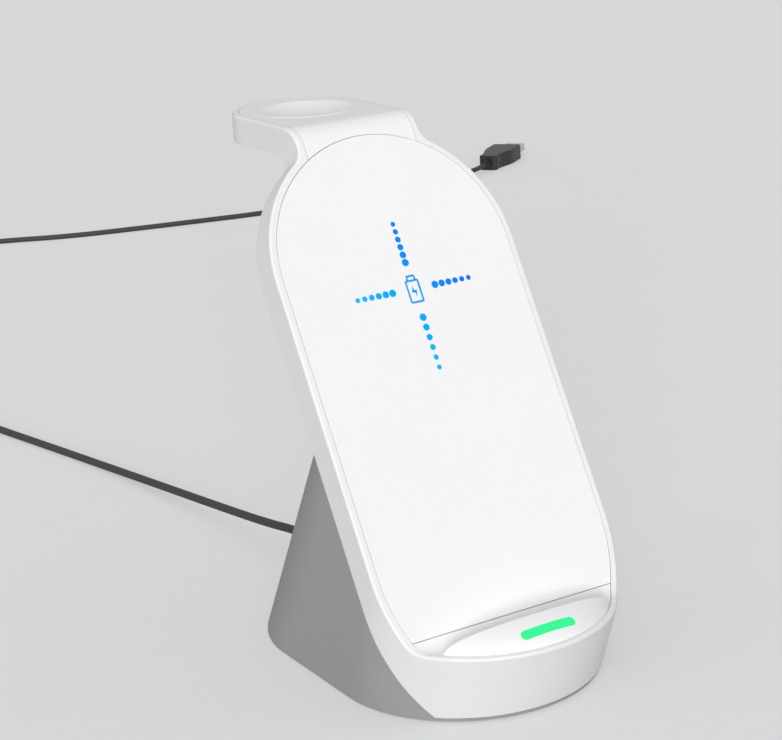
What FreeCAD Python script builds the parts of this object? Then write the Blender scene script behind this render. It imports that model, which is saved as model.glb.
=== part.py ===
"""Wireless charging stand: a leaning phone pad with a lit display, a lip with an indicator
light, a watch shelf on a bent arm, a round hollow base and a USB lead."""
import FreeCAD
import Part
import math
import os
from FreeCAD import Vector

# Driving dimensions, in millimetres and degrees

# Phone pad and the slab behind it
pad_half_width = 37.0
pad_length = 104.3          # centre of the round top down to the pad's straight lower edge
pad_end_above = 2.48        # the pad's lower edge above the shelf
pad_angle = 29.0            # from upright, towards the back
slab_depth = 9.8
rim_width = 2.0             # housing rim round every inset skin
rim_round = 0.7             # rounding of the rim's outer edge
skin = 2.0                  # thickness of the inset skins
seam = 0.18                 # gap round an inset skin
ledge_width = 3.0           # housing ledge that the skins rest on

# Foot and base
shelf_height = 21.7
cove_radius = 5.0
foot_setback = 39.87        # centre of the round front behind the plane of the pad, at table level
foot_angle = 22.0
rear_centre_behind = 14.5   # centre of the round rear, behind the pad centre, at table level
rear_angle = 30.5
base_wall = 2.2
plate_thickness = 1.2
plate_inset = 0.2           # the base plate's edge behind the walls that stand on it
rubber_height = 0.3         # how far the rubber feet stand out of the base plate
rubber_radius = 6.0
rubber_recess = 0.5
rubber_x = 20.0
rubber_ahead = 15.1         # from the centre of the round front
rubber_behind = 14.7        # from the centre of the round rear

# Watch arm
arm_half_width = 20.0
arm_depth = 8.4
arm_rise = 2.29             # top of the arm above the slab's round top
arm_centre_behind = 52.5    # centre of the round end, behind the pad centre
arm_outer_bend = 8.5
arm_inner_bend = 2.5
arm_floor = 1.8
neck_fillet = 6.0
dish_radius = 14.0
dish_depth = 2.2
dish_behind = 48.5
dish_floor = 1.2            # skin left under the middle of the dish
dish_boss_radius = 9.0
bead_radius = 0.85          # round bead on the dish's rim
bead_sink = 0.6             # middle of the bead below the arm's top

# Lip and its light bar
lip_height = 10.5           # crown of the full dome above the shelf
lip_crest_ahead = 29.3      # crest ahead of the centre of the round front
lip_back_radius = 82.0
bar_length = 17.2
bar_width = 2.5
bar_ahead = 34.2

# Display: four arms of dots round a battery sign, as inlays
display_x = 1.6
display_v = -9.9
display_depth = 0.6
dots_per_arm = 6
dot_outer_radius = 0.76
dot_inner_radius = 1.12
dot_start_up = 7.9
dot_pitch_up = 2.32
dot_start_down = 8.5
dot_pitch_down = 2.97
dot_start_side = 7.0
dot_pitch_side = 2.26
sign_width = 4.5
sign_height = 6.9
sign_cap_width = 3.0
sign_cap_height = 1.4
sign_line = 0.6
sign_corner = 0.6

# Back cover and the charging stack on it
cover_thickness = 2.0
cover_inset = 3.5
carrier_half_width = 25.0
carrier_top = 22.0
carrier_length = 102.0
carrier_thickness = 1.0
carrier_corner = 4.0
post_height = 1.6
post_radius = 2.5
post_x = 21.0
post_rows = (18.0, -29.0, -76.0)
coil_radius = 21.0
coil_bore = 10.0
coil_thickness = 1.3
coil_rows = (-6.0, -52.0)
shield_radius = 23.0
shield_thickness = 0.8
display_board_radius = 22.0
board_thickness = 0.8
cover_screw_x = 31.0
cover_screw_rows = (-18.0, -54.0, -90.0)
cover_screw_length = 6.3
pilot_extra = 0.5           # pilot hole beyond a cover screw's tip
boss_radius = 3.4
wire_slot_length = 16.0
wire_slot_width = 6.0
wire_slot_v = -90.0

# Fasteners
screw_radius = 1.3
screw_head_radius = 2.5
screw_sink = 1.0            # height of a countersunk head
screw_fit = 0.05
recess_length = 2.6         # cross recess in a screw's head
recess_width = 0.55
recess_depth = 0.6
base_screw_length = 7.0
boss_height = 8.0
front_screw_x = 12.0
front_screw_ahead = 32.7    # from the centre of the round front
rear_screw_x = 18.0
rear_screw_behind = 26.0    # from the centre of the round rear

# Inside the base
main_board_half_width = 24.0
main_board_front = 4.0      # behind the pad centre
main_board_length = 32.0
main_board_thickness = 1.6
standoff_height = 4.0
standoff_radius = 2.6
standoff_margin = 4.0
weight_half_width = 24.0
weight_front = -42.0
weight_length = 36.0
weight_thickness = 4.0
weight_corner = 5.0
chip_size = 7.0
chip_height = 1.0
inductor_height = 3.2
inductor_x = 12.0
inductor_ahead = 10.0       # front of the inductors, ahead of the board's middle
capacitor_radius = 2.0
capacitor_height = 5.5
capacitor_columns = (-14.0, -9.0, 9.0, 14.0)
capacitor_behind = 6.0
terminal_width = 8.0
terminal_depth = 5.0
terminal_height = 4.0
terminal_behind = 9.0

# Watch module
watch_coil_radius = 12.4
watch_coil_bore = 5.6
watch_coil_thickness = 1.4
watch_shield_radius = 13.4
watch_magnet_radius = 4.2
watch_holder_bore = 9.0
watch_gap = 0.2

# Lead and plug
cable_radius = 1.4
gland_height = 11.2
gland_radius = 3.1
gland_tip_radius = 2.1
gland_length = 14.0
gland_flange_radius = 4.6
gland_flange = 1.5
gland_fit = 0.1
gland_grooves = 5
groove_width = 1.0
groove_depth = 0.5
gland_reach = 19.2          # end of the gland's tail beyond the wall's seat
lead_straight = 12.0        # straight run of the lead behind the gland
plug_width = 18.0
plug_rear_width = 11.2
plug_height = 9.0
plug_length = 38.0
plug_waist = 8.0            # where the grip begins to widen
plug_shoulder = 21.0        # where it is at its full width
plug_sweep = 30.0
plug_corner = 2.0
plug_edge = 0.9
plug_boot_length = 5.0
plug_boot_radius = 2.4
shell_width = 12.0
shell_height = 4.5
shell_length = 15.0
shell_wall = 0.4
tongue_thickness = 1.8
tongue_gap = 0.3
contact_width = 1.0
contact_pitch = 2.3
contact_thickness = 0.2
contact_setback = 3.0       # end of the contacts, behind the end of the sleeve
tongue_setback = 1.0
shell_corner = 0.5
window_size = 2.4
window_x = 2.6
window_start = 0.58         # share of the sleeve's length

# The lead's route from its straight run to the plug, as it lies on the table
lying = cable_radius
cable_route = [
    (-1.2, 93.0, 8.2), (-3.0, 125.0, 5.2), (-7.0, 165.0, 2.8),
    (-13.0, 206.0, lying), (-19.8, 239.0, lying), (-27.0, 273.0, lying),
    (-35.5, 318.0, lying), (-42.0, 368.0, lying), (-45.0, 420.0, lying), (-42.0, 472.0, lying),
    (-31.0, 522.0, lying), (-11.0, 566.0, lying), (20.0, 597.0, lying), (60.0, 610.0, lying),
    (98.0, 600.0, lying), (130.0, 582.0, lying), (166.0, 571.0, lying), (204.0, 561.0, lying),
    (240.0, 552.0, lying), (281.0, 547.0, lying), (322.0, 546.5, lying), (354.0, 548.0, 2.2),
    (373.0, 549.0, 3.6), (386.0, 550.5, plug_height / 2), (396.4, 558.3, plug_height / 2),
]

# Worked-out values
body_half = pad_half_width + rim_width
cavity_inset = rim_width + ledge_width
lean = math.radians(pad_angle)
pad_centre_height = shelf_height + pad_end_above + pad_length * math.cos(lean)
arm_top_height = pad_centre_height + body_half * math.cos(lean) + arm_rise
base_low = rubber_height + plate_thickness
far = 6 * body_half


def slope(angle):
    """Sideways travel for each millimetre of height of a wall that leans by this angle."""
    return math.tan(math.radians(angle))


foot_centre_ahead = pad_centre_height * slope(pad_angle) - foot_setback
front_reach = foot_centre_ahead + shelf_height * slope(foot_angle) + body_half
back_reach = arm_centre_behind + arm_half_width
pad_centre_y = (front_reach - back_reach) / 2


def foot_centre(z):
    return pad_centre_y - foot_centre_ahead - z * slope(foot_angle)


def rear_centre(z):
    return pad_centre_y + rear_centre_behind - z * slope(rear_angle)


pad_frame = FreeCAD.Placement(
    Vector(0, pad_centre_y, pad_centre_height),
    FreeCAD.Rotation(Vector(1, 0, 0), 90 - pad_angle),
)


def on_pad(shape):
    """Moves a shape drawn flat, with +Y up the pad and +Z out of it, onto the leaning pad."""
    placed = shape.copy()
    placed.Placement = pad_frame.multiply(placed.Placement)
    return placed


def pad_point(up, out):
    """The place in the side view of a point up the pad and out of its face."""
    return pad_frame.multVec(Vector(0, up, out))


def pad_height(height, out):
    """How far up the pad a plane at this distance from its face reaches this height."""
    return (height - pad_centre_height - out * math.sin(lean)) / math.cos(lean)


def outline(corners, radii):
    """A closed flat wire through the corners, each rounded by its radius, or sharp at 0."""
    starts = []
    arcs = []
    for i, corner in enumerate(corners):
        if not radii[i]:
            starts.append((corner, corner))
            arcs.append(None)
            continue
        before = (corners[i - 1] - corner).normalize()
        after = (corners[(i + 1) % len(corners)] - corner).normalize()
        half = before.getAngle(after) / 2
        reach = radii[i] / math.tan(half)
        middle = (before + after).normalize()
        first = corner + before * reach
        last = corner + after * reach
        nearest = corner + middle * (radii[i] / math.sin(half) - radii[i])
        starts.append((first, last))
        arcs.append(Part.Arc(first, nearest, last).toShape())
    edges = []
    for i, arc in enumerate(arcs):
        if arc:
            edges.append(arc)
        begin = starts[i][1]
        end = starts[(i + 1) % len(corners)][0]
        if begin.distanceToPoint(end) > 1e-6:
            edges.append(Part.LineSegment(begin, end).toShape())
    return Part.Wire(edges)


def rectangle(x_half, y_low, y_high, corner):
    """A rounded rectangle in the XY plane, the same to both sides of X = 0."""
    points = [Vector(-x_half, y_low), Vector(x_half, y_low)]
    points += [Vector(x_half, y_high), Vector(-x_half, y_high)]
    return outline(points, [corner] * 4)


def plate(wire, low, high):
    """A flat wire in the XY plane made into a slab from one height to another."""
    return Part.Face(wire).extrude(Vector(0, 0, high - low)).translate(Vector(0, 0, low))


def across(wire, half):
    """A wire of the side view, extruded to both sides of the middle plane."""
    return Part.Face(wire).extrude(Vector(2 * half, 0, 0)).translate(Vector(-half, 0, 0))


def disc(radius, low, high, x=0.0, y=0.0):
    return Part.makeCylinder(radius, high - low, Vector(x, y, low))


def ring(radius, bore, low, high, x=0.0, y=0.0):
    return disc(radius, low, high, x, y).cut(disc(bore, low, high, x, y))


def fused(shapes):
    return shapes[0].multiFuse(shapes[1:]).removeSplitter()


def half_round(radius, centre, end, z):
    """A plan outline with a half circle at the centre and straight sides to the end."""
    tip = centre + math.copysign(radius, centre - end)
    arc = Part.Arc(Vector(radius, centre, z), Vector(0, tip, z), Vector(-radius, centre, z))
    sides = [Vector(-radius, centre, z), Vector(-radius, end, z)]
    sides += [Vector(radius, end, z), Vector(radius, centre, z)]
    return Part.Wire([arc.toShape()] + Part.makePolygon(sides).Edges)


def leaning_column(inset, low, high, centre, end_offset):
    """An oblique column with one round end, whose centre moves with height."""
    wire = half_round(body_half - inset, centre(low), centre(low) + end_offset, low)
    return Part.Face(wire).extrude(Vector(0, centre(high) - centre(low), high - low))


def foot_column(inset, low=-far, high=far):
    """Everything behind the round front of the foot, which leans forward as it rises."""
    return leaning_column(inset, low, high, foot_centre, 2 * far)


def base_column(inset, low, high):
    """The base's oblique column, round at the front and at the rear."""
    rear = leaning_column(inset, low, high, rear_centre, -2 * far)
    return foot_column(inset, low, high).common(rear)


def pad_column(inset):
    """The pad's outline with its round top, square to the pad and long both ways."""
    return on_pad(plate(half_round(body_half - inset, 0.0, -far, 0.0), -far, far))


def pad_slab(inner, outer, low=-far, high=far):
    """A block square to the pad, between two distances from its face and two heights up it."""
    corner = Vector(-far, low, inner)
    return on_pad(Part.makeBox(2 * far, high - low, outer - inner, corner))


def front_body(depth, back):
    """Slab, cove and shelf as one block, cut back by a depth from its front and shelf."""
    turn = pad_height(shelf_height - depth, -depth)
    low = pad_height(-far, -back)
    shelf_front = Vector(0, -far, shelf_height - depth)
    corners = [
        pad_point(far, -depth), pad_point(turn, -depth), shelf_front,
        Vector(0, -far, -far), pad_point(low, -back), pad_point(far, -back),
    ]
    return across(outline(corners, [0, cove_radius + depth, 0, 0, 0, 0]), far)


arm_root = math.sqrt((body_half - cavity_inset) ** 2 - arm_half_width ** 2)
arm_under_height = arm_top_height - arm_depth


def arm_profile(depth, back, under):
    """The bent side view of the watch arm, cut back from its upper side and its back."""
    top = pad_height(arm_top_height - depth, -depth)
    low = pad_height(under, -back)
    corners = [
        pad_point(arm_root, -depth), pad_point(top, -depth), Vector(0, far, arm_top_height - depth),
        Vector(0, far, under), pad_point(low, -back), pad_point(arm_root, -back),
    ]
    inner = arm_inner_bend + slab_depth - back
    return outline(corners, [0, arm_outer_bend - depth, 0, 0, inner, 0])


def arm_bar(depth, back, under, inset):
    """The bar of the watch arm with its round end, cut back on every side."""
    plan = half_round(arm_half_width - inset, pad_centre_y + arm_centre_behind, -far, 0.0)
    return across(arm_profile(depth, back, under), arm_half_width - inset).common(plate(plan, 0.0, far))


def neck():
    """The slab between the round top and the arm, with a fillet at each shoulder."""
    reach = body_half + neck_fillet
    beside = arm_half_width + neck_fillet
    centre = Vector(beside, math.sqrt(reach ** 2 - beside ** 2))
    low = centre * (body_half / reach)
    high = Vector(arm_half_width, centre.y)
    middle = centre + ((low + high) / 2 - centre).normalize() * neck_fillet

    def left(point):
        return Vector(-point.x, point.y)

    edges = [
        Part.Arc(low, middle, high).toShape(),
        Part.LineSegment(high, left(high)).toShape(),
        Part.Arc(left(high), left(middle), left(low)).toShape(),
        Part.LineSegment(left(low), low).toShape(),
    ]
    return on_pad(plate(Part.Wire(edges), -slab_depth, 0.0))


def hole_at(points, radius, low, high):
    return [disc(radius, low, high, x, y) for x, y in points]


def pairs(x, rows):
    return [(side * x, row) for row in rows for side in (-1, 1)]


cover_screws_at = pairs(cover_screw_x, cover_screw_rows)
posts_at = pairs(post_x, post_rows)
front_screws_at = pairs(front_screw_x, [foot_centre(base_low) - front_screw_ahead])
rear_screws_at = pairs(rear_screw_x, [rear_centre(base_low) + rear_screw_behind])
base_screws_at = front_screws_at + rear_screws_at
boss_top = base_low + boss_height
cover_back = -slab_depth
cover_front = cover_back + cover_thickness
carrier_back = cover_front + post_height
carrier_front = carrier_back + carrier_thickness


def front_housing():
    """The white moulding: rim and walls of slab, foot and arm, open at the front and back.
    The rounding starts at the arm's end and runs on round the whole outer edge of the rim."""
    slab = front_body(0.0, slab_depth).common(foot_column(0.0)).common(pad_column(0.0))
    arm = arm_bar(0.0, slab_depth, arm_under_height, 0.0)
    over_bend = pad_slab(-slab_depth, far, arm_root, far)
    over_bend = over_bend.cut(across(arm_profile(0.0, slab_depth, arm_under_height), far))
    body = fused([slab.cut(over_bend), neck().cut(over_bend), arm])
    body = body.cut(Part.makeBox(4 * far, 4 * far, far, Vector(-2 * far, -2 * far, base_low - far)))
    level = [edge for edge in body.Edges if abs(edge.BoundBox.ZMin - arm_top_height) < seam]
    body = body.makeFillet(rim_round, [max(level, key=lambda edge: edge.BoundBox.YMax)])
    skin_recess = foot_column(rim_width).common(pad_column(rim_width)).cut(front_body(skin, far))
    watch_recess = arm_bar(0.0, slab_depth, arm_under_height, rim_width)
    watch_recess = watch_recess.cut(arm_bar(skin, slab_depth, arm_under_height, rim_width))
    cavity = front_body(skin, -cover_front)
    cavity = cavity.common(foot_column(cavity_inset)).common(pad_column(cavity_inset))
    arm_cavity = arm_bar(skin, slab_depth - cover_thickness, arm_under_height + arm_floor, cavity_inset)
    cover_recess = foot_column(cover_inset).common(pad_column(cover_inset))
    cover_recess = cover_recess.common(pad_slab(cover_back, cover_front))
    body = body.cut([skin_recess, watch_recess, cavity, arm_cavity, cover_recess])
    inside = front_body(skin, -cover_front).common(foot_column(rim_width))
    bosses = [on_pad(b) for b in hole_at(cover_screws_at, boss_radius, cover_front, -skin)]
    feet = [b.common(inside) for b in hole_at(front_screws_at, boss_radius, base_low, boss_top)]
    tip = cover_back + cover_screw_length + pilot_extra
    pilots = [on_pad(p) for p in hole_at(cover_screws_at, screw_radius + screw_fit, cover_front, tip)]
    pilots += hole_at(front_screws_at, screw_radius + screw_fit, base_low, base_low + base_screw_length)
    return fused([body] + bosses + feet).cut(pilots)


def skin_layer():
    """The layer that fills the front recess of the housing, from the round top to the foot's rim."""
    inset = rim_width + seam
    block = front_body(0.0, slab_depth).common(foot_column(inset)).common(pad_column(inset))
    return block.cut(front_body(skin, far))


def display_dots():
    """Round inlays in four arms that grow towards the sign in the middle."""
    arms = [
        (0, 1, dot_start_up, dot_pitch_up), (0, -1, dot_start_down, dot_pitch_down),
        (-1, 0, dot_start_side, dot_pitch_side), (1, 0, dot_start_side, dot_pitch_side),
    ]
    dots = []
    for x, v, start, pitch in arms:
        for i in range(dots_per_arm):
            reach = start + i * pitch
            radius = dot_inner_radius + (dot_outer_radius - dot_inner_radius) * i / (dots_per_arm - 1)
            dots.append(disc(radius, -display_depth, 0.0, display_x + x * reach, display_v + v * reach))
    return [on_pad(dot) for dot in dots]


def battery_sign():
    """The charging sign as inlays: a battery outline with its cap, and a bolt in it."""
    cap_high = (sign_height + sign_cap_height) / 2
    high = cap_high - sign_cap_height
    low = -cap_high

    def frame(half, bottom, top):
        outer = plate(rectangle(half, bottom, top, sign_corner), -display_depth, 0.0)
        hole = rectangle(half - sign_line, bottom + sign_line, top - sign_line, sign_corner / 4)
        return outer.cut(plate(hole, -display_depth, 0.0))

    case = frame(sign_width / 2, low, high)
    cap = frame(sign_cap_width / 2, high - sign_line, cap_high)
    reach = sign_height / 4
    jut = sign_width / 5
    half = [Vector(-jut / 3, reach), Vector(-jut, -reach / 5), Vector(0, -reach / 5)]
    bolt = plate(Part.makePolygon(half + [point * -1 for point in half] + half[:1]), -display_depth, 0.0)
    parts = [fused([case, cap]), bolt.translate(Vector(0, (low + high) / 2, 0))]
    return [on_pad(part.translate(Vector(display_x, display_v, 0))) for part in parts]


lip_radius = body_half - rim_width - seam
bar_share = math.sqrt(1 - (bar_ahead / lip_radius) ** 2)
bar_place = Vector(0, foot_centre(shelf_height) - bar_ahead, shelf_height + lip_height * bar_share)
bar_tilt = math.degrees(math.atan(lip_height * bar_ahead / (lip_radius ** 2 * bar_share)))


def lip():
    """The dome on the foot, cut to a crescent by the round slot that holds the phone's edge."""
    middle = foot_centre(shelf_height)
    level = Vector(0, middle, shelf_height)
    edge = level + Vector(0, -lip_radius, 0)
    crown = level + Vector(0, 0, lip_height)
    curve = Part.ArcOfEllipse(Part.Ellipse(edge, crown, level), 0, math.pi / 2).toShape()
    root = level - Vector(0, 0, seam)
    foot = edge - Vector(0, 0, seam)
    corners = Part.makePolygon([crown, root, foot, edge]).Edges
    dome = Part.Face(Part.Wire([curve] + corners)).revolve(level, Vector(0, 0, 1), 360)
    back = disc(lip_back_radius, 0.0, far, 0.0, middle - lip_crest_ahead + lip_back_radius)
    return dome.cut(back)


def bar_column(grow):
    """The light bar's round-ended column through the lip, square to its sloping face."""
    radius = bar_width / 2 + grow
    straight = (bar_length - bar_width) / 2
    ends = [Vector(-straight, -radius), Vector(straight, -radius)]
    ends += [Vector(straight, radius), Vector(-straight, radius)]
    right = Part.Arc(ends[1], Vector(straight + radius, 0), ends[2]).toShape()
    left = Part.Arc(ends[3], Vector(-straight - radius, 0), ends[0]).toShape()
    lines = [Part.LineSegment(ends[0], ends[1]).toShape(), Part.LineSegment(ends[2], ends[3]).toShape()]
    column = plate(Part.Wire([lines[0], right, lines[1], left]), -far, far)
    frame = FreeCAD.Placement(bar_place, FreeCAD.Rotation(Vector(1, 0, 0), bar_tilt))
    column.Placement = frame.multiply(column.Placement)
    return column


def indicator_board():
    """The small board under the ledge, centred on the lower end of the light bar."""
    under = shelf_height - skin
    middle = bar_place.y + (bar_place.z - under) * slope(bar_tilt)
    wire = rectangle(bar_length / 2, middle - bar_width, middle + bar_width, sign_corner)
    return plate(wire, under - board_thickness, under).common(foot_column(cavity_inset + seam))


watch_y = pad_centre_y + dish_behind
dish_underside = arm_top_height - dish_depth - dish_floor


def watch_pad():
    """The inset top of the watch arm, which bends over the neck down to the phone pad, with a
    beaded dish for the watch and a boss under it."""
    inset = rim_width + seam
    layer = arm_bar(0.0, slab_depth, arm_under_height, inset)
    layer = layer.cut(arm_bar(skin, slab_depth, arm_under_height, inset))
    layer = layer.cut(pad_column(rim_width))
    boss = disc(dish_boss_radius, dish_underside, arm_top_height - skin, 0.0, watch_y)
    bead = Part.makeTorus(dish_radius, bead_radius, Vector(0, watch_y, arm_top_height - bead_sink))
    ball = (dish_radius ** 2 + dish_depth ** 2) / (2 * dish_depth)
    above = arm_top_height - dish_depth + ball
    return fused([layer, boss, bead]).cut(Part.makeSphere(ball, Vector(0, watch_y, above)))


def back_cover():
    """The flat cover in the slab's back, with posts for the coil carrier and a slot for wires."""
    inset = cover_inset + seam
    cover = pad_slab(cover_back, cover_front).common(foot_column(inset)).common(pad_column(inset))
    cover = cover.common(Part.makeBox(2 * far, 2 * far, far, Vector(-far, -far, base_low)))
    posts = [on_pad(p) for p in hole_at(posts_at, post_radius, cover_front, carrier_back)]
    half = wire_slot_width / 2
    slot = rectangle(wire_slot_length / 2, wire_slot_v - half, wire_slot_v + half, wire_slot_width / 3)
    cuts = [on_pad(plate(slot, cover_back, cover_front))]
    cuts += [on_pad(screw(cover_back, cover_thickness, screw_fit, x, v)) for x, v in cover_screws_at]
    cuts += [on_pad(p) for p in hole_at(posts_at, screw_radius + screw_fit, cover_front, carrier_back)]
    return fused([cover] + posts).cut(cuts)


def screw(head_level, length, grow, x, y):
    """A countersunk screw that points up, its head flush at the given level."""
    base = Vector(x, y, head_level)
    head = Part.makeCone(screw_head_radius + grow, screw_radius + grow, screw_sink, base)
    return fused([head, disc(screw_radius + grow, head_level, head_level + length, x, y)])


def crossed_screw(head_level, length, x, y):
    """A countersunk screw with a cross recess in its head."""
    sizes = [(recess_length, recess_width), (recess_width, recess_length)]
    recess = [Part.makeBox(a, b, recess_depth, Vector(x - a / 2, y - b / 2, head_level)) for a, b in sizes]
    return screw(head_level, length, 0.0, x, y).cut(recess)


def coil_carrier():
    wire = rectangle(carrier_half_width, carrier_top - carrier_length, carrier_top, carrier_corner)
    holes = hole_at(posts_at, screw_radius + screw_fit, carrier_back, carrier_front)
    return on_pad(plate(wire, carrier_back, carrier_front).cut(holes))


def carrier_screws():
    """Low pan-head screws that hold the coil carrier on its posts."""
    head = screw_radius / 2
    solids = []
    for x, v in posts_at:
        shank = disc(screw_radius, cover_front, carrier_front, x, v)
        pan = disc(screw_head_radius, carrier_front, carrier_front + head, x, v)
        solids.append(on_pad(fused([shank, pan])))
    return solids


gland_wall = rear_centre(gland_height + gland_flange_radius + gland_flange) + body_half - base_wall
gland_seat = gland_wall - gland_flange
gland_tail = gland_wall + gland_reach


def along_lead(radius, start, end):
    """A cylinder on the axis of the lead where it leaves the base."""
    return Part.makeCylinder(radius, end - start, Vector(0, start, gland_height), Vector(0, 1, 0))


def base_shell():
    """The grey hollow base behind the slab, open to the slab and to the base plate."""
    block = base_column(0.0, base_low, 2 * pad_length).common(pad_slab(-far, cover_back))
    hollow = base_column(base_wall, base_low, 2 * pad_length).common(pad_slab(-far, cover_back))
    shell = block.cut(hollow)
    bosses = [b.common(block) for b in hole_at(rear_screws_at, boss_radius, base_low, boss_top)]
    pilots = hole_at(rear_screws_at, screw_radius + screw_fit, base_low, base_low + base_screw_length)
    seat = along_lead(gland_flange_radius + gland_flange, gland_seat, gland_seat + far).common(block)
    way = along_lead(gland_radius + gland_fit, 0.0, far)
    return fused([shell, seat] + bosses).cut(pilots + [way])


main_board_rear = main_board_front + main_board_length
standoffs_at = pairs(
    main_board_half_width - standoff_margin,
    [pad_centre_y + main_board_front + standoff_margin, pad_centre_y + main_board_rear - standoff_margin],
)
board_low = base_low + standoff_height
board_high = board_low + main_board_thickness
rubber_at = pairs(rubber_x, [foot_centre(base_low) - rubber_ahead, rear_centre(base_low) + rubber_behind])


def base_plate():
    base = base_column(plate_inset, rubber_height, base_low)
    posts = hole_at(standoffs_at, standoff_radius, base_low, board_low)
    cuts = hole_at(rubber_at, rubber_radius, rubber_height, rubber_height + rubber_recess)
    cuts += hole_at(standoffs_at, screw_radius + screw_fit, base_low, board_low)
    cuts += [screw(rubber_height, plate_thickness, screw_fit, x, y) for x, y in base_screws_at]
    return fused([base] + posts).cut(cuts)


def main_board():
    low = pad_centre_y + main_board_front
    wire = rectangle(main_board_half_width, low, low + main_board_length, sign_corner)
    holes = hole_at(standoffs_at, screw_radius + screw_fit, board_low, board_high)
    return plate(wire, board_low, board_high).cut(holes)


def board_components():
    """Driver chip, two power inductors, a row of capacitors and the lead's terminal block."""
    middle = pad_centre_y + main_board_front + main_board_length / 2

    def block(width, depth, height, x, front):
        return Part.makeBox(width, depth, height, Vector(x - width / 2, middle + front, board_high))

    chip = block(chip_size, chip_size, chip_height, 0.0, -chip_size / 2)
    columns = (-inductor_x, inductor_x)
    inductors = [block(chip_size, chip_size, inductor_height, x, -inductor_ahead) for x in columns]
    terminal = block(terminal_width, terminal_depth, terminal_height, 0.0, terminal_behind)
    rows = [(x, middle + capacitor_behind) for x in capacitor_columns]
    capacitors = hole_at(rows, capacitor_radius, board_high, board_high + capacitor_height)
    return [chip] + inductors + capacitors + [terminal]


def board_screws():
    head = screw_radius / 2
    solids = []
    for x, y in standoffs_at:
        shank = disc(screw_radius, base_low, board_high, x, y)
        solids.append(fused([shank, disc(screw_head_radius, board_high, board_high + head, x, y)]))
    return solids


def counterweight():
    low = pad_centre_y + weight_front
    return plate(rectangle(weight_half_width, low, low + weight_length, weight_corner), base_low,
                 base_low + weight_thickness)


watch_coil_top = dish_underside - watch_gap
watch_coil_low = watch_coil_top - watch_coil_thickness
watch_shield_low = watch_coil_low - shield_thickness


def gland():
    """The lead's flexible gland: flange on the seat inside, neck through the wall and a tapered tail."""
    start = gland_tail - gland_length
    pitch = gland_length / gland_grooves
    taper = (gland_radius - gland_tip_radius) / gland_length
    grooved = []
    for i in range(gland_grooves):
        for run, sink in ((0.0, 0.0), (pitch - groove_width, 0.0), (pitch - groove_width, groove_depth),
                          (pitch, groove_depth)):
            along = i * pitch + run
            grooved.append(Vector(0, start + along, gland_height + gland_radius - along * taper - sink))
    profile = [
        Vector(0, gland_seat - gland_flange, gland_height),
        Vector(0, gland_seat - gland_flange, gland_height + gland_flange_radius),
        Vector(0, gland_seat, gland_height + gland_flange_radius),
        Vector(0, gland_seat, gland_height + gland_radius),
        *grooved[:-2],
        Vector(0, gland_tail, gland_height + gland_tip_radius),
        Vector(0, gland_tail, gland_height),
    ]
    face = Part.Face(Part.makePolygon(profile + profile[:1]))
    return face.revolve(Vector(0, 0, gland_height), Vector(0, 1, 0), 360)


def cable_path():
    """Straight runs joined by arcs as large as the two runs at each point allow."""
    points = [Vector(0, gland_tail + run, gland_height) for run in (0, lead_straight)]
    points += [Vector(*point) for point in cable_route]
    edges = []
    radii = []
    begin = points[0]
    for before, corner, after in zip(points, points[1:], points[2:]):
        back = (before - corner).normalize()
        ahead = (after - corner).normalize()
        half = back.getAngle(ahead) / 2
        reach = 0.45 * min((before - corner).Length, (after - corner).Length)
        radius = reach * math.tan(half)
        middle = (back + ahead).normalize()
        last = corner + ahead * reach
        first = corner + back * reach
        nearest = corner + middle * (radius / math.sin(half) - radius)
        edges.append(Part.LineSegment(begin, first).toShape())
        edges.append(Part.Arc(first, nearest, last).toShape())
        radii.append(round(radius))
        begin = last
    edges.append(Part.LineSegment(begin, points[-1]).toShape())
    print("lead bends", radii)
    return edges


def tube_along(edge):
    """A round stretch of the lead along a straight run or an arc."""
    start = edge.valueAt(edge.FirstParameter)
    circle = Part.makeCircle(cable_radius, start, edge.tangentAt(edge.FirstParameter))
    face = Part.Face(Part.Wire(circle))
    if isinstance(edge.Curve, Part.Circle):
        turn = math.degrees(edge.Length / edge.Curve.Radius)
        return face.revolve(edge.Curve.Center, edge.Curve.Axis, turn)
    return face.extrude(edge.valueAt(edge.LastParameter) - start)


def power_cable():
    path = cable_path()
    length = sum(edge.Length for edge in path)
    tube = fused([tube_along(edge) for edge in path])
    straight = math.pi * cable_radius ** 2 * length
    print("lead length", round(length, 1), "volume ratio", round(tube.Volume / straight, 4))
    return tube


plug_end = plug_boot_length + plug_length
plug_turn = math.atan2(cable_route[-1][1] - cable_route[-2][1], cable_route[-1][0] - cable_route[-2][0])


def plug_place(shape):
    """Moves a piece drawn along +Y from the lead's end to its place on the table."""
    placed = shape.copy()
    turn = FreeCAD.Rotation(Vector(0, 0, 1), math.degrees(plug_turn) - 90)
    placed.Placement = FreeCAD.Placement(Vector(*cable_route[-1]), turn).multiply(placed.Placement)
    return placed


def upright(x_half, z_half, corner, y):
    """A rounded rectangle that stands across the plug's length."""
    points = [
        Vector(-x_half, y, -z_half), Vector(x_half, y, -z_half),
        Vector(x_half, y, z_half), Vector(-x_half, y, z_half),
    ]
    return outline(points, [corner] * 4)


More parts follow.
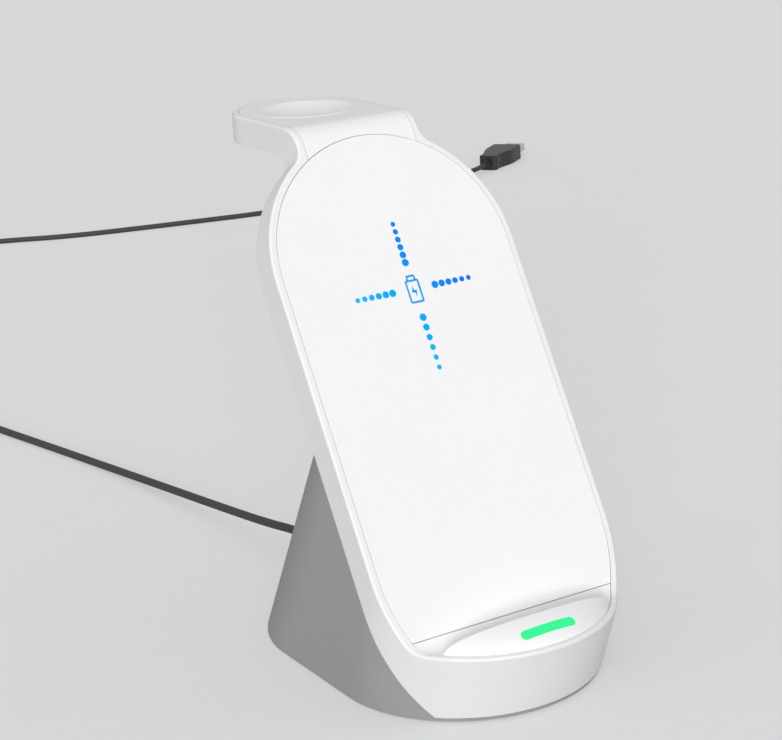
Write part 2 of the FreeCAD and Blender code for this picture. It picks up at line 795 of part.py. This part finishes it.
def plug_body():
    """The moulded grip: a narrow rear end that sweeps out to full width, and a short boot."""
    right = [
        Vector(plug_rear_width / 2, plug_boot_length),
        Vector(plug_rear_width / 2, plug_boot_length + plug_waist),
        Vector(plug_width / 2, plug_boot_length + plug_shoulder),
        Vector(plug_width / 2, plug_end),
    ]
    left = [Vector(-point.x, point.y) for point in reversed(right)]
    radii = [plug_corner, plug_sweep, plug_sweep, plug_corner]
    grip = plate(outline(right + left, radii + radii[::-1]), -plug_height / 2, plug_height / 2)
    level = [e for e in grip.Edges if abs(e.BoundBox.ZLength) < 1e-6]
    grip = grip.makeFillet(plug_edge, level)
    boot = Part.makeCylinder(plug_boot_radius, plug_boot_length, Vector(0, 0, 0), Vector(0, 1, 0))
    return plug_place(fused([grip, boot]))


def plug_shell():
    """The folded metal sleeve, with two latch windows in each broad side."""
    half = Vector(shell_width / 2, 0, shell_height / 2)
    along = Vector(0, shell_length, 0)
    outer = Part.Face(upright(half.x, half.z, shell_corner, plug_end)).extrude(along)
    inner = upright(half.x - shell_wall, half.z - shell_wall, shell_corner - shell_wall / 2, plug_end)
    sleeve = outer.cut(Part.Face(inner).extrude(along))
    windows = []
    for x in (-window_x, window_x):
        corner = Vector(x - window_size / 2, plug_end + shell_length * window_start, -half.z)
        windows.append(Part.makeBox(window_size, window_size, shell_height, corner))
    return plug_place(sleeve.cut(windows))


def plug_tongue():
    width = shell_width - 2 * (shell_wall + tongue_gap)
    low = shell_height / 2 - shell_wall - tongue_thickness
    corner = Vector(-width / 2, plug_end, low)
    return plug_place(Part.makeBox(width, shell_length - tongue_setback, tongue_thickness, corner))


def plug_contacts():
    """Four flat contacts on the open side of the tongue."""
    low = shell_height / 2 - shell_wall - tongue_thickness - contact_thickness
    length = shell_length - contact_setback
    solids = []
    for column in (-1.5, -0.5, 0.5, 1.5):
        corner = Vector(column * contact_pitch - contact_width / 2, plug_end, low)
        solids.append(plug_place(Part.makeBox(contact_width, length, contact_thickness, corner)))
    return solids


def save(name, shapes):
    shape = shapes if isinstance(shapes, Part.Shape) else Part.makeCompound(shapes)
    shape.exportStep(f"parts/{name}.step")
    print(name, len(shape.Solids), "solids", shape.isValid(), round(shape.Volume, 1))


def main():
    os.makedirs("parts", exist_ok=True)
    layer = skin_layer()
    dots = display_dots()
    sign = battery_sign()
    ledge = fused([layer.common(pad_slab(-far, far, -far, -pad_length - seam)), lip()])
    save("front_housing", front_housing())
    save("phone_pad", layer.common(pad_slab(-far, far, -pad_length, far)).cut(dots + sign))
    save("display_dots", dots)
    save("battery_sign", sign)
    save("phone_ledge", ledge.cut(bar_column(seam)))
    save("indicator_bar", ledge.common(bar_column(0.0)))
    save("watch_pad", watch_pad())
    save("back_cover", back_cover())
    screws = [crossed_screw(cover_back, cover_screw_length, x, v) for x, v in cover_screws_at]
    save("cover_screws", [on_pad(piece) for piece in screws])
    save("coil_carrier", coil_carrier())
    save("carrier_screws", carrier_screws())
    for name, row in zip(("upper", "lower"), coil_rows):
        low = carrier_front
        save(f"{name}_coil_shield", on_pad(disc(shield_radius, low, low + shield_thickness, 0, row)))
        low += shield_thickness
        coil = ring(coil_radius, coil_bore, low, low + coil_thickness, 0, row)
        save(f"{name}_charging_coil", on_pad(coil))
    save("display_board", on_pad(disc(display_board_radius, -skin - board_thickness, -skin, 0, display_v)))
    save("indicator_board", indicator_board())
    save("watch_coil", ring(watch_coil_radius, watch_coil_bore, watch_coil_low, watch_coil_top, 0, watch_y))
    save("watch_coil_shield", disc(watch_shield_radius, watch_shield_low, watch_coil_low, 0, watch_y))
    save("watch_magnet", disc(watch_magnet_radius, watch_coil_low, watch_coil_top, 0, watch_y))
    save("watch_coil_holder", ring(watch_shield_radius, watch_holder_bore, arm_under_height + arm_floor,
                                   watch_shield_low, 0, watch_y))
    save("base_shell", base_shell())
    save("base_plate", base_plate())
    save("base_screws", [crossed_screw(rubber_height, base_screw_length, x, y) for x, y in base_screws_at])
    save("rubber_feet", hole_at(rubber_at, rubber_radius, 0.0, rubber_height + rubber_recess))
    save("counterweight", counterweight())
    save("main_board", main_board())
    save("board_components", board_components())
    save("board_screws", board_screws())
    save("cable_gland", gland())
    save("power_cable", power_cable())
    save("plug_body", plug_body())
    save("plug_shell", plug_shell())
    save("plug_tongue", plug_tongue())
    save("plug_contacts", plug_contacts())


main()
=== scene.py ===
"""Looks of the wireless charging stand: finishes for its pieces, its lead, and a plain studio."""
import math
import bpy
from mathutils import Matrix, Vector


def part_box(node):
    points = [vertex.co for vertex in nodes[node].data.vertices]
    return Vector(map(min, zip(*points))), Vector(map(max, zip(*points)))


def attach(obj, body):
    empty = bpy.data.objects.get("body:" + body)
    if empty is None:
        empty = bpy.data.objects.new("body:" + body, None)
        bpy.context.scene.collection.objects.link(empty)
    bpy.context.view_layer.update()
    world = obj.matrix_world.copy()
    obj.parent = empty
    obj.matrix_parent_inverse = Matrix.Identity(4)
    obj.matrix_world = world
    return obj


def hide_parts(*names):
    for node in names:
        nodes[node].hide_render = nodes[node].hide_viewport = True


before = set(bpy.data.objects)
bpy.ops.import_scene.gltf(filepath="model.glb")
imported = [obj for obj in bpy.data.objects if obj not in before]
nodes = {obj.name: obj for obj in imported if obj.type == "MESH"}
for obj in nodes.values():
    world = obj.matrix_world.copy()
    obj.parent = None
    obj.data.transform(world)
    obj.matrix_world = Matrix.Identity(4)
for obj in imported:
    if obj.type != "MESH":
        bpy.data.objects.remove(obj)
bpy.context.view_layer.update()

# Sizes in millimetres and degrees
MM = 0.001
pad_lean = 29.0
pad_centre_height = 115.4
display_x = 1.6             # middle of the display beside the pad's middle
display_down = 9.9          # and below the centre of the pad's round top
blue_reach = 19.0           # from the middle of the display to each end of its change of blue
blue_rise = 0.7             # how much of that change is up the pad, beside the part across it

# Grain of the finishes
melt_cloud = 22.0
pebble_size = 0.8
lacquer_ripple = 6.0
lacquer_grain = 0.9
glow_cloud = 2.0
pore_size = 0.7
pore_draw = 12.0            # how far the extruder draws them out
roll_line = 0.35
oil_patch = 9.0
wire_pitch = 0.9
ferrite_fleck = 0.5
track_pitch = 3.0
board_fleck = 40.0

# Depth of their relief
moulded_relief = 0.0025
plug_relief = 0.006
lacquer_relief = 0.002
pore_relief = 0.008
plating_relief = 0.003
rolling_relief = 0.006
wire_relief = 0.12
ferrite_relief = 0.02
track_relief = 0.02

# Lead, with the route that its solid follows
lead_diameter = 2.8
lead_length = 948.0
lead_steps = 16             # pieces from one point of the route to the next
lead_roundness = 6          # its girth has 4 faces, and 2 more for each of these
lying = lead_diameter / 2
gland_height = 11.2
plug_middle = 4.5
lead_route = [
    (0.0, 60.0, gland_height), (0.0, 72.0, gland_height), (-1.2, 93.0, 8.2), (-3.0, 125.0, 5.2),
    (-7.0, 165.0, 2.8), (-13.0, 206.0, lying), (-19.8, 239.0, lying), (-27.0, 273.0, lying),
    (-35.5, 318.0, lying), (-42.0, 368.0, lying), (-45.0, 420.0, lying), (-42.0, 472.0, lying),
    (-31.0, 522.0, lying), (-11.0, 566.0, lying), (20.0, 597.0, lying), (60.0, 610.0, lying),
    (98.0, 600.0, lying), (130.0, 582.0, lying), (166.0, 571.0, lying), (204.0, 561.0, lying),
    (240.0, 552.0, lying), (281.0, 547.0, lying), (322.0, 546.5, lying), (354.0, 548.0, 2.2),
    (373.0, 549.0, 3.6), (386.0, 550.5, plug_middle), (396.4, 558.3, plug_middle),
]

# Camera
eye = (-293.04, -494.25, 254.23)
aim = (-1.65, 4.87, 81.33)
camera_roll = -3.568
lens = 96.61
sensor = 36.0
camera_reach = 50000.0

# Studio
floor_half = 6000.0
floor_even = 0.55           # share of the floor that the camera sees without shadow
studio_grey = "#D8D9DB"     # even tone of the floor's share, and of the wall far behind it
sky_overhead = 0.66
key_strength = 2.16
key_round = 33.0            # to the left of straight ahead
key_rise = 12.0
key_angle = 28.0


def linear(code):
    """An sRGB hex colour as linear RGBA."""
    channels = [int(code[i:i + 2], 16) / 255 for i in (1, 3, 5)]
    return [c / 12.92 if c <= 0.04045 else ((c + 0.055) / 1.055) ** 2.4 for c in channels] + [1.0]


def add(tree, kind, inputs=None, **settings):
    """Adds a node with its settings, and sets each named input or links it to a node or socket."""
    node = tree.nodes.new(kind)
    for name, value in settings.items():
        setattr(node, name, value)
    for name, value in (inputs or {}).items():
        if isinstance(value, bpy.types.Node):
            value = next(socket for socket in value.outputs if socket.enabled)
        if isinstance(value, bpy.types.NodeSocket):
            tree.links.new(value, node.inputs[name])
        else:
            node.inputs[name].default_value = value
    return node


def start(name):
    """A new finish: its material, its empty tree, and the Object coordinates in it."""
    material = bpy.data.materials.new(name)
    material.use_nodes = True
    tree = material.node_tree
    tree.nodes.clear()
    return material, tree, add(tree, "ShaderNodeTexCoord").outputs["Object"]


def moulded_abs(name, dark, light, roughness, depth, shine=0.5):
    """ABS from a spark-eroded tool: one even colour with faint clouds where the melt flowed,
    and a satin or dull face with a fine pebble, drawn coarser than the real 0.1 mm so that it
    shows."""
    material, tree, place = start(name)
    cloud = add(tree, "ShaderNodeTexNoise", {"Vector": place, "Scale": 1 / (melt_cloud * MM)})
    colour = add(tree, "ShaderNodeMix", {0: cloud, 6: linear(dark), 7: linear(light)}, data_type="RGBA")
    pebble = add(tree, "ShaderNodeTexNoise", {"Vector": place, "Scale": 1 / (pebble_size * MM)})
    satin = add(tree, "ShaderNodeMapRange", {
        "Value": pebble, "To Min": roughness - 0.1, "To Max": roughness + 0.1})
    relief = add(tree, "ShaderNodeBump", {"Height": pebble, "Strength": 1.0, "Distance": depth * MM})
    surface = add(tree, "ShaderNodeBsdfPrincipled", {
        "Base Color": colour, "Roughness": satin, "IOR": 1.53, "Specular IOR Level": shine,
        "Normal": relief})
    add(tree, "ShaderNodeOutputMaterial", {"Surface": surface})
    return material


def lacquered_polycarbonate(name):
    """Polycarbonate skin under a soft-touch lacquer: whiter and smoother than the rim round it,
    with a weak broad sheen and the long low ripple that sprayed lacquer keeps."""
    material, tree, place = start(name)
    cloud = add(tree, "ShaderNodeTexNoise", {"Vector": place, "Scale": 1 / (melt_cloud * MM)})
    white = add(tree, "ShaderNodeMix", {
        0: cloud, 6: linear("#F5F5F5"), 7: linear("#F8F8F8")}, data_type="RGBA")
    grain = add(tree, "ShaderNodeTexNoise", {"Vector": place, "Scale": 1 / (lacquer_grain * MM)})
    satin = add(tree, "ShaderNodeMapRange", {"Value": grain, "To Min": 0.4, "To Max": 0.6})
    ripple = add(tree, "ShaderNodeTexNoise", {"Vector": place, "Scale": 1 / (lacquer_ripple * MM)})
    relief = add(tree, "ShaderNodeBump", {
        "Height": ripple, "Strength": 1.0, "Distance": lacquer_relief * MM})
    surface = add(tree, "ShaderNodeBsdfPrincipled", {
        "Base Color": white, "Roughness": satin, "IOR": 1.5, "Sheen Weight": 0.03, "Normal": relief})
    add(tree, "ShaderNodeOutputMaterial", {"Surface": surface})
    return material


def backlit_acrylic(name, near, far, unlit):
    """Acrylic inlay lit from behind: a flat glow that drifts from one hue to the next up and
    across the display, in a smooth face that is dark where no light comes through."""
    material, tree, place = start(name)
    up = math.cos(math.radians(pad_lean))
    middle = Vector((display_x, 0.0, pad_centre_height - display_down * up)) * MM
    centred = add(tree, "ShaderNodeMapping", {
        "Vector": place, "Location": middle}, vector_type="TEXTURE")
    slope = add(tree, "ShaderNodeVectorMath", {
        0: centred, 1: (1.0, 0.0, blue_rise / up)}, operation="DOT_PRODUCT")
    drift = add(tree, "ShaderNodeMapRange", {
        "Value": slope, "From Min": -blue_reach * MM, "From Max": blue_reach * MM})
    glow = add(tree, "ShaderNodeMix", {0: drift, 6: linear(near), 7: linear(far)}, data_type="RGBA")
    cloud = add(tree, "ShaderNodeTexNoise", {"Vector": place, "Scale": 1 / (glow_cloud * MM)})
    gloss = add(tree, "ShaderNodeMapRange", {"Value": cloud, "To Min": 0.2, "To Max": 0.36})
    surface = add(tree, "ShaderNodeBsdfPrincipled", {
        "Base Color": linear(unlit), "Roughness": gloss, "Specular IOR Level": 0.04,
        "Emission Color": glow, "Emission Strength": 0.97})
    add(tree, "ShaderNodeOutputMaterial", {"Surface": surface})
    return material


def elastomer(name, dark, light, roughness, shine=0.5, unrolled=None):
    """Soft thermoplastic rubber: one dark tone with a dull skin and fine pores, drawn coarser
    than real ones. On the lead, whose UV map is given the size of its unrolled jacket, the pores
    are drawn out along the pull of the extruder."""
    material, tree, place = start(name)
    if unrolled:
        length, girth = unrolled
        along = add(tree, "ShaderNodeTexCoord").outputs["UV"]
        place = add(tree, "ShaderNodeMapping", {
            "Vector": along, "Scale": (length / pore_draw * MM, girth * MM, 1.0)})
    pores = add(tree, "ShaderNodeTexNoise", {"Vector": place, "Scale": 1 / (pore_size * MM)})
    colour = add(tree, "ShaderNodeMix", {0: pores, 6: linear(dark), 7: linear(light)}, data_type="RGBA")
    dull = add(tree, "ShaderNodeMapRange", {
        "Value": pores, "To Min": roughness - 0.1, "To Max": roughness + 0.1})
    relief = add(tree, "ShaderNodeBump", {"Height": pores, "Strength": 1.0, "Distance": pore_relief * MM})
    surface = add(tree, "ShaderNodeBsdfPrincipled", {
        "Base Color": colour, "Roughness": dull, "IOR": 1.5, "Specular IOR Level": shine,
        "Normal": relief})
    add(tree, "ShaderNodeOutputMaterial", {"Surface": surface})
    return material


def plated_metal(name, dark, light, roughness):
    """Plated sheet or wire: bright metal whose rolling lines run one way under the plating."""
    material, tree, place = start(name)
    rolled = add(tree, "ShaderNodeMapping", {"Vector": place, "Scale": (1.0, 0.04, 1.0)})
    lines = add(tree, "ShaderNodeTexNoise", {"Vector": rolled, "Scale": 1 / (roll_line * MM)})
    colour = add(tree, "ShaderNodeMix", {0: lines, 6: linear(dark), 7: linear(light)}, data_type="RGBA")
    gloss = add(tree, "ShaderNodeMapRange", {
        "Value": lines, "To Min": roughness - 0.12, "To Max": roughness + 0.12})
    relief = add(tree, "ShaderNodeBump", {
        "Height": lines, "Strength": 1.0, "Distance": plating_relief * MM})
    surface = add(tree, "ShaderNodeBsdfPrincipled", {
        "Base Color": colour, "Metallic": 1.0, "Roughness": gloss, "Normal": relief})
    add(tree, "ShaderNodeOutputMaterial", {"Surface": surface})
    return material


def stamped_steel(name):
    """Bare mild steel from the press: grey, lightly oiled, with rolling marks and dull patches."""
    material, tree, place = start(name)
    patch = add(tree, "ShaderNodeTexNoise", {"Vector": place, "Scale": 1 / (oil_patch * MM), "Detail": 4.0})
    grey = add(tree, "ShaderNodeMix", {
        0: patch, 6: linear("#606062"), 7: linear("#909194")}, data_type="RGBA")
    dull = add(tree, "ShaderNodeMapRange", {"Value": patch, "To Min": 0.35, "To Max": 0.65})
    rolled = add(tree, "ShaderNodeMapping", {"Vector": place, "Scale": (1.0, 0.04, 1.0)})
    lines = add(tree, "ShaderNodeTexNoise", {"Vector": rolled, "Scale": 1 / (roll_line * MM)})
    relief = add(tree, "ShaderNodeBump", {
        "Height": lines, "Strength": 1.0, "Distance": rolling_relief * MM})
    surface = add(tree, "ShaderNodeBsdfPrincipled", {
        "Base Color": grey, "Metallic": 1.0, "Roughness": dull, "Normal": relief})
    add(tree, "ShaderNodeOutputMaterial", {"Surface": surface})
    return material


def wound_copper(name, node, lean):
    """Enamelled copper wound flat in a spiral: round wires side by side, drawn coarser than the real
    strands, with painted shade darkening the grooves between them and lighter crowns, and the amber gloss
    of the enamel."""
    material, tree, place = start(name)
    low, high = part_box(node)
    turn = (math.radians(90 - lean), 0.0, 0.0)
    flat = add(tree, "ShaderNodeMapping", {
        "Vector": place, "Location": (low + high) / 2, "Rotation": turn}, vector_type="TEXTURE")
    wires = add(tree, "ShaderNodeTexWave", {
        "Vector": flat, "Scale": math.tau / 20 / (wire_pitch * MM)}, wave_type="RINGS", rings_direction="Z")
    # painted shade: the amber turns dark in the grooves between the turns and light on their crowns
    amber = add(tree, "ShaderNodeMix", {
        0: wires.outputs["Fac"], 6: linear("#5A2A12"), 7: linear("#C77B45")}, data_type="RGBA")
    gloss = add(tree, "ShaderNodeMapRange", {"Value": wires.outputs["Fac"], "To Min": 0.5, "To Max": 0.28})
    relief = add(tree, "ShaderNodeBump", {
        "Height": wires.outputs["Fac"], "Strength": 1.0, "Distance": wire_relief * MM})
    surface = add(tree, "ShaderNodeBsdfPrincipled", {
        "Base Color": amber, "Metallic": 1.0, "Roughness": gloss, "Coat Weight": 0.4, "Normal": relief})
    add(tree, "ShaderNodeOutputMaterial", {"Surface": surface})
    return material


def pressed_ferrite(name):
    """Sintered ferrite sheet: charcoal, dead matt and slightly flecked."""
    material, tree, place = start(name)
    fleck = add(tree, "ShaderNodeTexNoise", {
        "Vector": place, "Scale": 1 / (ferrite_fleck * MM), "Detail": 4.0})
    grey = add(tree, "ShaderNodeMix", {
        0: fleck, 6: linear("#141416"), 7: linear("#464649")}, data_type="RGBA")
    matt = add(tree, "ShaderNodeMapRange", {"Value": fleck, "To Min": 0.65, "To Max": 0.9})
    relief = add(tree, "ShaderNodeBump", {
        "Height": fleck, "Strength": 1.0, "Distance": ferrite_relief * MM})
    surface = add(tree, "ShaderNodeBsdfPrincipled", {
        "Base Color": grey, "Roughness": matt, "Normal": relief})
    add(tree, "ShaderNodeOutputMaterial", {"Surface": surface})
    return material


def fibreglass_board(name):
    """Fibreglass board under green solder mask: glossy lacquer over paler copper tracks."""
    material, tree, place = start(name)
    track = add(tree, "ShaderNodeTexVoronoi", {
        "Vector": place, "Scale": 1 / (track_pitch * MM)}, feature="DISTANCE_TO_EDGE")
    edge = add(tree, "ShaderNodeMapRange", {"Value": track, "From Min": 0.08, "From Max": 0.14})
    green = add(tree, "ShaderNodeMix", {
        0: edge, 6: linear("#2F7A4A"), 7: linear("#145231")}, data_type="RGBA")
    grain = add(tree, "ShaderNodeTexNoise", {"Vector": place, "Scale": 1 / (lacquer_grain * MM)})
    gloss = add(tree, "ShaderNodeMapRange", {"Value": grain, "To Min": 0.22, "To Max": 0.42})
    relief = add(tree, "ShaderNodeBump", {
        "Height": edge, "Strength": 1.0, "Distance": track_relief * MM}, invert=True)
    surface = add(tree, "ShaderNodeBsdfPrincipled", {
        "Base Color": green, "Roughness": gloss, "Coat Weight": 0.3, "Normal": relief})
    add(tree, "ShaderNodeOutputMaterial", {"Surface": surface})
    return material


def paint(material, *names):
    """Gives these nodes a finish in place of the plain one they were loaded with."""
    for name in names:
        mesh = nodes[name].data
        mesh.materials.clear()
        mesh.materials.append(material)


def dress_nodes():
    """A finish for each solid."""
    white = moulded_abs("white_abs_moulded", "#EFEFEF", "#F5F5F5", roughness=0.42, depth=moulded_relief)
    paint(white, "front_housing", "back_cover")
    paint(lacquered_polycarbonate("white_polycarbonate_lacquered"), "phone_pad", "phone_ledge", "watch_pad")
    grey = moulded_abs(
        "grey_abs_moulded", "#A3A3A3", "#ACACAC", roughness=0.6, depth=moulded_relief, shine=0.05)
    paint(grey, "base_shell", "base_plate")
    blue = backlit_acrylic("blue_acrylic_backlit", "#00C4FC", "#0074FE", "#00101E")
    paint(blue, "display_dots", "battery_sign")
    paint(backlit_acrylic("green_acrylic_backlit", "#3AFD99", "#3AFD99", "#00180C"), "indicator_bar")
    paint(elastomer("grey_silicone_moulded", "#464647", "#5A5A5B", roughness=0.7), "rubber_feet")
    paint(elastomer("black_elastomer_moulded", "#181819", "#242425", roughness=0.5), "cable_gland")
    black = moulded_abs("black_abs_moulded", "#0D0D0E", "#181819", roughness=0.45, depth=plug_relief)
    paint(black, "plug_body", "plug_tongue", "coil_carrier", "watch_coil_holder", "board_components")
    zinc = plated_metal("steel_zinc_plated", "#A0A4A9", "#CED1D4", roughness=0.34)
    paint(zinc, "cover_screws", "carrier_screws", "base_screws", "board_screws")
    paint(plated_metal("steel_nickel_plated", "#B5B1AA", "#DEDBD4", roughness=0.24), "plug_shell")
    paint(plated_metal("brass_gold_plated", "#BD8C32", "#F0C973", roughness=0.22), "plug_contacts")
    paint(stamped_steel("mild_steel_stamped"), "counterweight")
    coils = (("upper_charging_coil", pad_lean), ("lower_charging_coil", pad_lean), ("watch_coil", 90.0))
    for node, lean in coils:
        paint(wound_copper("copper_enamelled_" + node, node, lean), node)
    ferrite = pressed_ferrite("ferrite_pressed")
    paint(ferrite, "upper_coil_shield", "lower_coil_shield", "watch_coil_shield", "watch_magnet")
    paint(fibreglass_board("fibreglass_board"), "display_board", "indicator_board", "main_board")


def lead():
    """The lead from the gland to the plug, as one smooth line led by its route."""
    curve = bpy.data.curves.new("lead", "CURVE")
    curve.dimensions = "3D"
    spline = curve.splines.new("NURBS")
    spline.points.add(len(lead_route) - 1)
    for point, place in zip(spline.points, lead_route):
        point.co = [value * MM for value in place] + [1.0]
    spline.order_u = 3
    spline.use_endpoint_u = True
    spline.resolution_u = lead_steps
    curve.bevel_depth = lead_diameter / 2 * MM
    curve.bevel_resolution = lead_roundness
    jacket = (lead_length, math.pi * lead_diameter)
    # the jacket is black; this mid grey stands in for the sheen along it, a painted sheen
    curve.materials.append(elastomer(
        "black_elastomer_extruded", "#454547", "#515153", roughness=0.45, shine=0.05, unrolled=jacket))
    piece = bpy.data.objects.new("lead", curve)
    bpy.context.scene.collection.objects.link(piece)
    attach(piece, "root")
    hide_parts("power_cable")


def in_view(tree):
    """Is 1 on what the camera sees, straight or in a gloss or glass, and 0 on light thrown back."""
    path = add(tree, "ShaderNodeLightPath").outputs
    mirrored = add(tree, "ShaderNodeMath", {
        0: path["Is Camera Ray"], 1: path["Is Glossy Ray"]}, operation="MAXIMUM")
    return add(tree, "ShaderNodeMath", {0: mirrored, 1: path["Is Transmission Ray"]}, operation="MAXIMUM")


def floor():
    """A pale matt board that throws back less light than it shows. A share of it is an even grey,
    so that shadows on it stay soft."""
    half = floor_half * MM
    mesh = bpy.data.meshes.new("floor")
    corners = [(-half, -half, 0), (half, -half, 0), (half, half, 0), (-half, half, 0)]
    mesh.from_pydata(corners, [], [(0, 1, 2, 3)])
    material, tree, place = start("floor_matt_board")
    fleck = add(tree, "ShaderNodeTexNoise", {"Vector": place, "Scale": 1 / (board_fleck * MM)})
    pale = add(tree, "ShaderNodeMix", {
        0: fleck, 6: linear("#F8F9FB"), 7: linear("#FCFDFF")}, data_type="RGBA")
    seen = in_view(tree)
    shown = add(tree, "ShaderNodeMix", {0: seen, 6: linear("#A2A3A4"), 7: pale}, data_type="RGBA")
    board = add(tree, "ShaderNodeBsdfDiffuse", {"Color": shown})
    even = add(tree, "ShaderNodeEmission", {"Color": linear(studio_grey), "Strength": 1.0})
    share = add(tree, "ShaderNodeMath", {0: seen, 1: floor_even}, operation="MULTIPLY")
    mixed = add(tree, "ShaderNodeMixShader", {0: share, 1: board, 2: even})
    add(tree, "ShaderNodeOutputMaterial", {"Surface": mixed})
    mesh.materials.append(material)
    piece = bpy.data.objects.new("floor", mesh)
    bpy.context.scene.collection.objects.link(piece)


def light():
    """A white sky, brightest overhead and seen as a pale wall, and one soft key from the left front."""
    world = bpy.data.worlds.new("sky")
    world.use_nodes = True
    tree = world.node_tree
    tree.nodes.clear()
    way = add(tree, "ShaderNodeTexCoord").outputs["Generated"]
    rise = add(tree, "ShaderNodeSeparateXYZ", {"Vector": way}).outputs["Z"]
    level = add(tree, "ShaderNodeMapRange", {"Value": rise, "From Min": -1.0, "To Max": sky_overhead})
    sky = add(tree, "ShaderNodeBackground", {"Color": linear("#FFFFFF"), "Strength": level})
    wall = add(tree, "ShaderNodeBackground", {"Color": linear(studio_grey), "Strength": 1.0})
    mixed = add(tree, "ShaderNodeMixShader", {0: in_view(tree), 1: sky, 2: wall})
    add(tree, "ShaderNodeOutputWorld", {"Surface": mixed})
    bpy.context.scene.world = world
    lamp = bpy.data.lights.new("key", "SUN")
    lamp.energy = key_strength
    lamp.angle = math.radians(key_angle)
    piece = bpy.data.objects.new("key", lamp)
    piece.rotation_euler = (math.radians(90 - key_rise), 0.0, math.radians(-key_round))
    bpy.context.scene.collection.objects.link(piece)


def camera():
    """The photograph's viewing angle."""
    settings = bpy.data.cameras.new("camera")
    settings.sensor_fit = "HORIZONTAL"
    settings.sensor_width = sensor
    settings.lens = lens
    settings.clip_end = camera_reach * MM
    piece = bpy.data.objects.new("camera", settings)
    piece.location = Vector(eye) * MM
    turn = (Vector(aim) - Vector(eye)).to_track_quat("-Z", "Y").to_matrix()
    piece.rotation_euler = (turn @ Matrix.Rotation(math.radians(camera_roll), 3, "Z")).to_euler()
    bpy.context.scene.collection.objects.link(piece)
    bpy.context.scene.camera = piece


dress_nodes()
lead()
floor()
light()
camera()
bpy.context.scene.view_settings.view_transform = "Standard"
